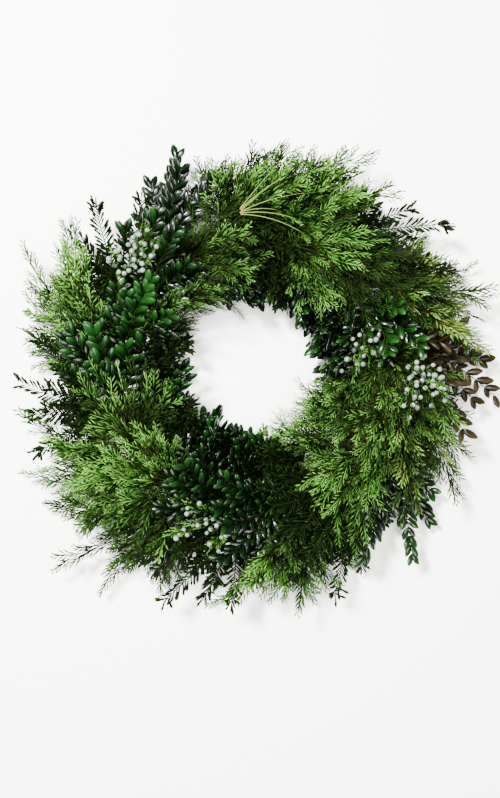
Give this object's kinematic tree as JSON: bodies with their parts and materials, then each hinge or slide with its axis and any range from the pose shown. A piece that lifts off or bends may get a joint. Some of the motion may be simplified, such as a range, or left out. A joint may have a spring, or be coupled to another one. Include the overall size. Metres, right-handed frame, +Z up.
{
  "type": "evergreen wreath",
  "caption": "Round fresh wreath of juniper, yew and boxwood sprigs wired in three clockwise rows round a straw ring, with pale berries.",
  "frame": {"origin": "middle of the wreath's box on the flat surface that its back lies on", "axes": "+Z up, out of the wreath's front; +Y towards the wreath's top as pictured"},
  "size_m": [0.5926, 0.5798, 0.1077],
  "materials": {
    "straw": "bound dry straw, matte",
    "wire": "thin green lacquered florist's wire",
    "juniper": "fresh scaly twigs, yellow-green to olive, satin",
    "yew": "fresh flat dark needles, satin",
    "boxwood": "fresh glossy leaves, emerald to dark green",
    "bronze": "leaves turned bronze brown, satin",
    "berries": "pale blue-white bloom over green, matte"
  },
  "bodies": {
    "root": {"straw_ring": "straw", "binding_wire": "wire", "juniper_outer_01": "juniper", "yew_outer_02": "yew", "juniper_outer_03": "juniper", "bronze_outer_04": "bronze", "juniper_outer_05": "juniper", "boxwood_outer_06": "boxwood", "yew_outer_07": "yew", "juniper_outer_08": "juniper", "yew_outer_09": "yew", "juniper_outer_10": "juniper", "juniper_outer_11": "juniper", "yew_outer_12": "yew", "juniper_outer_13": "juniper", "yew_outer_14": "yew", "boxwood_outer_15": "boxwood", "juniper_outer_16": "juniper", "juniper_top_01": "juniper", "juniper_top_02": "juniper", "boxwood_top_03": "boxwood", "juniper_top_04": "juniper", "juniper_top_05": "juniper", "juniper_top_06": "juniper", "yew_top_07": "yew", "boxwood_top_08": "boxwood", "boxwood_top_09": "boxwood", "juniper_top_10": "juniper", "juniper_top_11": "juniper", "boxwood_top_12": "boxwood", "boxwood_top_13": "boxwood", "boxwood_top_14": "boxwood", "juniper_top_15": "juniper", "yew_top_16": "yew", "boxwood_inner_01": "boxwood", "boxwood_inner_02": "boxwood", "boxwood_inner_03": "boxwood", "juniper_inner_04": "juniper", "juniper_inner_05": "juniper", "juniper_inner_06": "juniper", "yew_inner_07": "yew", "boxwood_inner_08": "boxwood", "boxwood_inner_09": "boxwood", "yew_inner_10": "yew", "boxwood_inner_11": "boxwood", "yew_inner_12": "yew", "juniper_inner_13": "juniper", "juniper_inner_14": "juniper", "boxwood_inner_15": "boxwood", "yew_inner_16": "yew", "berries_right": "berries", "berries_inner": "berries", "berries_bottom": "berries", "berries_left": "berries"}
  },
  "joints": []
}
